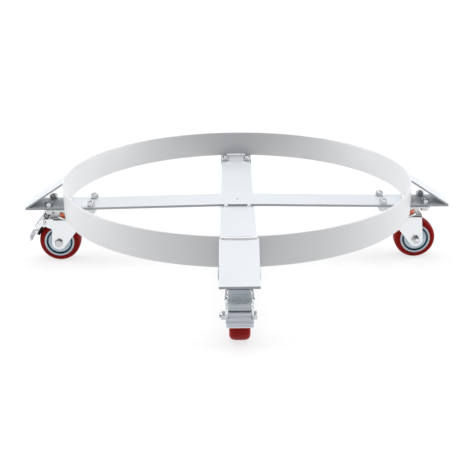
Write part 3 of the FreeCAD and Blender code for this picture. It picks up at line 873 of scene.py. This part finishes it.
def core_part(profile):
    """One band of the wheel core, on both faces. The profile is (radius, distance from the middle)."""
    path = rounded(profile, 0.4, 4)
    front = lathe(path, 128, close=False)
    back = lathe([(radius, -height) for radius, height in path], 128, close=False)
    return [about_v(front), about_v(back)]


def core_bands():
    """The moulded core's hub with its bearing seat, its groove and its rim, which share end points."""
    hub_edge, rim_edge = (20.4, 14.5), (24.0, 15.3)
    groove_floor = 10.2
    hub = [(8, BEARING_INSIDE), (BEARING_RADIUS, BEARING_INSIDE), (BEARING_RADIUS, HUB_HALF),
           (15.4, HUB_HALF), (16.6, 14.8), (18.4, 14.2), hub_edge]
    groove = [hub_edge, (21.0, groove_floor), (23.4, groove_floor), rim_edge]
    rim = [rim_edge, (25.6, 15.6), (CORE_RADIUS, 15.4)]
    return core_part(hub), core_part(groove), core_part(rim)


def bearing_parts():
    """A shielded ball bearing in each side of the hub: outer race, dark shield, inner race."""
    bore, inner_race, outer_race = 6.05, 7.8, 11.2
    race_face = 16.9
    shield_inside, shield_face, bulge = 10, 16.3, (9.6, 16.6)

    def ring(low_radius, high_radius, side):
        corners = [(low_radius, BEARING_INSIDE), (high_radius, BEARING_INSIDE),
                   (high_radius, race_face), (low_radius, race_face)]
        outline = [(radius, side * height) for radius, height in corners]
        return about_v(lathe(closed_round(outline, 0.3, 3), 96))

    races, shields = [], []
    for side in (-1, 1):
        races += [ring(outer_race, BEARING_RADIUS, side), ring(bore, inner_race, side)]
        corners = [(inner_race, shield_inside), (outer_race, shield_inside),
                   (outer_race, shield_face), bulge, (inner_race, shield_face)]
        outline = [(radius, side * height) for radius, height in corners]
        shields.append(about_v(lathe(closed_round(outline, 0.2, 2), 96)))
    return races, shields


def wheels():
    """The four wheels: tread, the core's three bands, and the bearings."""
    tread = [tread_part()]
    hub, groove, rim = core_bands()
    races, shields = bearing_parts()
    for arm in ARMS:
        for name, parts, slot, material, node in (
                ("tread", tread, "tread_red", TREAD, "wheel_tread"),
                ("core_hub", hub, "core_plastic", CORE_PALE, "wheel_core"),
                ("core_groove", groove, "core_plastic", CORE_DARK, "wheel_core"),
                ("core_rim", rim, "core_plastic", CORE_RIM, "wheel_core"),
                ("bearing_races", races, "ball_steel", STEEL, "wheel_bearings"),
                ("bearing_shields", shields, "ball_steel", SHIELD, "wheel_bearings")):
            mesh_piece(f"{name}_{arm}", parts, f"wheel_{arm}", material, [f"{node}_{arm}"], axle(arm))


# Brake pieces

def pedal_plate():
    """The pedal's treadle: a sloping plate with three pressed grooves, turned down at its lower end."""
    top, toe, toe_end = (50.6, 90.3), (68.2, 69.2), (68.3, 68.0)
    half_width, thick = 16.2, 1.8
    grooves, groove_depth, groove_width = (7.2, 12.9, 18.5), 1.5, 0.65
    ridge_offset, ridge_height, ridge_width = 1.6, 0.35, 0.7
    groove_half, groove_end = 11.6, 1.2
    path = rounded([top, toe, toe_end], [0, 0.6, 0], 6)
    lengths = [0.0]
    for before, after in zip(path, path[1:]):
        lengths.append(lengths[-1] + math.dist(before, after))

    def on_path(distance):
        """The point at a distance down the plate, and the direction out of its face."""
        i = max(k for k in range(len(lengths) - 1) if lengths[k] <= distance + 1e-9)
        share = (distance - lengths[i]) / (lengths[i + 1] - lengths[i])
        run = Vector((path[i + 1][0] - path[i][0], path[i + 1][1] - path[i][1]))
        middle = Vector(path[i]) + run * share
        run.normalize()
        return middle, Vector((-run.y, run.x))

    def relief(distance, side):
        """How far the face stands out there: each groove is pressed in and raises a ridge below it."""
        reach = max(0.0, min(1.0, (groove_half - abs(side)) / groove_end))
        lift = 0.0
        for groove in grooves:
            below = distance - groove
            lift -= groove_depth * reach * math.exp(-(below / groove_width) ** 2)
            lift += ridge_height * reach * math.exp(-((below - ridge_offset) / ridge_width) ** 2)
        return lift

    rows = []
    steps, wide = 120, 60
    for i in range(steps + 1):
        distance = lengths[-1] * i / steps
        middle, outwards = on_path(distance)
        row = []
        for j in range(wide + 1):
            v = half_width * (2 * j / wide - 1)
            point = middle + outwards * relief(distance, v)
            row.append((point.x, v, point.y))
        rows.append(row)
    return sheet(rows, thick)


def pedal_lip():
    """The toe end below the treadle: a bulge in two steps, then an edge rolled into a bead."""
    front = [(65.0, 68.4), (65.0, 62.0), (69.4, 62.6), (73.0, 60.8), (76.2, 56.2), (76.1, 55.2),
             (77.6, 53.4), (78.6, 50.2), (79.2, 48.6), (79.0, 46.8), (77.2, 46.4)]
    back = [(74.8, 46.6), (75.6, 52.0), (72.6, 57.6), (69.0, 60.6), (63.2, 60.6), (63.2, 68.4)]
    narrow, gain, gain_top, gain_height = 16.8, 3.4, 65.0, 6.0
    points, faces = slab(closed_round(front + back, 0.45, 4), -1, 1)

    def half_width(height):
        return narrow + gain * math.sqrt(max(0.0, min(1.0, (gain_top - height) / gain_height)))

    lip = [(u, side * half_width(z), z) for u, side, z in points], faces
    bead_half, bead_radius, bead_place = 20.4, 2.4, (77.0, 0, 44.1)
    shoulder, end_radius = bead_half - 0.6, bead_radius - 0.6
    bead = [(0, -bead_half), (end_radius, -bead_half), (bead_radius, -shoulder),
            (bead_radius, shoulder), (end_radius, bead_half), (0, bead_half)]
    rolled = about_v(lathe(rounded(bead, 0.4, 4), 40, close=False))
    return [lip, moved(rolled, Matrix.Translation(bead_place))]


def spring_leaves(numbers):
    """Thin leaves stacked behind the top of the pedal, counted from the pedal's plate."""
    top, first, pitch = Vector((50.4, 91.8)), 1.2, 1.5
    length, thick, half_width = 12.5, 1.3, 15.2
    downwards, inwards = Vector((0.64, -0.768)), Vector((-0.768, -0.64))
    leaves = []
    for number in numbers:
        start = top + inwards * (first + pitch * number)
        end = start + downwards * length
        corners = [start, end, end + inwards * thick, start + inwards * thick]
        leaves.append(slab([tuple(corner) for corner in corners], -half_width, half_width))
    return leaves


def pedal_flange(side):
    """A side of the pedal, from the ears down to the toe end."""
    inner, outer = 16.3, 18.2
    shape = [(51.6, 89.6), (46.0, 80), (46.0, 73.6), (50.5, 71.4), (62.5, 64.4), (72.0, 57.4),
             (76.0, 51), (77.4, 52.4), (75.4, 58.4), (69.4, 66.6), (60.0, 78.0)]
    low, high = sorted((side * inner, side * outer))
    return slab(closed_round(shape, [1, 3, 3, 2, 2, 3, 0.5, 0.5, 2, 1, 1], 4), low, high)


def pedal_pin():
    """The pin that the pedal turns on, with a flattened head on each end."""
    end, head_inside, shank, head = 23, 21.4, 2.5, 3.6
    half = [(shank, 21.3), (head, head_inside), (head, 22.2), (2.8, end), (0, end)]
    other_half = [(radius, -height) for radius, height in reversed(half)]
    return about_v(lathe(rounded(other_half + half, 0.1, 2), 40, close=False))


def brakes():
    """The pedal of each brake with its pin, and the CAD's spring strip and pad."""
    for arm in BRAKED:
        place = caster(arm)
        flanges = [pedal_flange(1), pedal_flange(-1)]
        # Leaves 0, 2 and 4 are near black: painted shade in the gaps between the zinc leaves.
        for name, parts, material in (("pedal_plate", [pedal_plate()], PEDAL),
                                      ("shade_painted_leaves", spring_leaves((0, 2, 4)), SHIELD),
                                      ("light_leaves", spring_leaves((1, 3)), ZINC),
                                      ("pedal_lip", pedal_lip(), LIP),
                                      ("pedal_sides", flanges, ZINC)):
            piece = mesh_piece(f"{name}_{arm}", parts, f"brake_{arm}", material,
                               [f"brake_pedal_{arm}"], place)
            if parts is flanges:
                add_bevel(piece, 0.35, 2)
        mesh_piece(f"pedal_pin_{arm}", [pedal_pin()], f"swivel_{arm}", FASTENER,
                   [f"brake_pin_{arm}"], place @ Matrix.Translation((PIN_REACH, 0, PIN_Z)))
        dress(f"brake_arm_{arm}", ZINC, 0.4)
        dress(f"brake_pad_{arm}", RUBBER, 0.8)


# Studio

def camera():
    """The view the object is seen from: a little above it, far enough for a flat perspective."""
    aim = Vector((0.0016, 0, RING_LOW * MM))
    distance, elevation, turn, roll = 1.6445, math.radians(18.76), -0.0083, -0.0063
    back = Vector((0, -math.cos(elevation), math.sin(elevation)))
    back.rotate(Matrix.Rotation(turn, 3, "Z"))
    right = Vector((math.cos(turn), math.sin(turn), 0))
    up = back.cross(right)
    tilted_right = right * math.cos(roll) + up * math.sin(roll)
    tilted_up = up * math.cos(roll) - right * math.sin(roll)
    data = bpy.data.cameras.new("camera")
    data.lens = 67.83
    data.sensor_width = 36
    data.shift_x = -0.0024
    data.shift_y = -0.0763
    data.clip_end = 200
    item = bpy.data.objects.new("camera", data)
    bpy.context.scene.collection.objects.link(item)
    axes = Matrix((tilted_right, tilted_up, back)).transposed().to_4x4()
    item.matrix_world = Matrix.Translation(aim + back * distance) @ axes
    bpy.context.scene.camera = item


def soft_sun(name, direction, strength, angle):
    """Even light from a wide patch of sky. direction points from the dolly to the light."""
    data = bpy.data.lights.new(name, "SUN")
    data.energy = strength
    data.angle = math.radians(angle)
    item = bpy.data.objects.new(name, data)
    bpy.context.scene.collection.objects.link(item)
    item.rotation_euler = (-Vector(direction)).to_track_quat("-Z", "Y").to_euler()


def floor():
    """A plain white floor that glows a little, so that shadows on it stay faint."""
    mesh = bpy.data.meshes.new("floor")
    half = 60
    corners = [(-half, -half, 0), (half, -half, 0), (half, half, 0), (-half, half, 0)]
    mesh.from_pydata(corners, [], [(0, 1, 2, 3)])
    item = bpy.data.objects.new("floor", mesh)
    bpy.context.scene.collection.objects.link(item)
    material, _, shader = new_material("floor_white")
    shader.inputs["Base Color"].default_value = (0.25, 0.25, 0.25, 1)
    shader.inputs["Emission Color"].default_value = (1, 1, 1, 1)
    shader.inputs["Emission Strength"].default_value = 0.72
    shader.inputs["Roughness"].default_value = 0.9
    shader.inputs["Specular IOR Level"].default_value = 0.0
    mesh.materials.append(material)


def studio_world():
    """A white room: bright behind the dolly, dim on the viewer's side, pure white where it is seen itself."""
    world = bpy.data.worlds.new("studio")
    world.use_nodes = True
    tree = world.node_tree
    background = tree.nodes["Background"]
    place = tree.nodes.new("ShaderNodeTexCoord")
    split = tree.nodes.new("ShaderNodeSeparateXYZ")
    depth = tree.nodes.new("ShaderNodeMapRange")
    depth.inputs["From Min"].default_value = 0.0
    depth.inputs["From Max"].default_value = 0.4
    depth.inputs["To Min"].default_value = 0.04
    depth.inputs["To Max"].default_value = 0.8
    path = tree.nodes.new("ShaderNodeLightPath")
    seen = tree.nodes.new("ShaderNodeMath")
    seen.operation = "MAXIMUM"
    tree.links.new(place.outputs["Generated"], split.inputs["Vector"])
    tree.links.new(split.outputs["Y"], depth.inputs["Value"])
    tree.links.new(depth.outputs["Result"], seen.inputs[0])
    tree.links.new(path.outputs["Is Camera Ray"], seen.inputs[1])
    tree.links.new(seen.outputs["Value"], background.inputs["Strength"])
    background.inputs["Color"].default_value = (0.975, 0.99, 1.0, 1)
    bpy.context.scene.world = world


def studio():
    """The room, its three soft lights, the floor and the camera."""
    bpy.context.scene.view_settings.view_transform = "Standard"
    studio_world()
    soft_sun("overhead", (0, -0.06, 0.99), 2.2, 60)
    soft_sun("left_side", (-0.94, 0.16, 0.28), 2.0, 34)
    soft_sun("right_side", (0.94, 0.16, 0.28), 2.0, 34)
    floor()
    camera()


frame_metal()
caster_fasteners()
swivel_tops()
swivel_forks()
axle_sets()
wheels()
brakes()
studio()
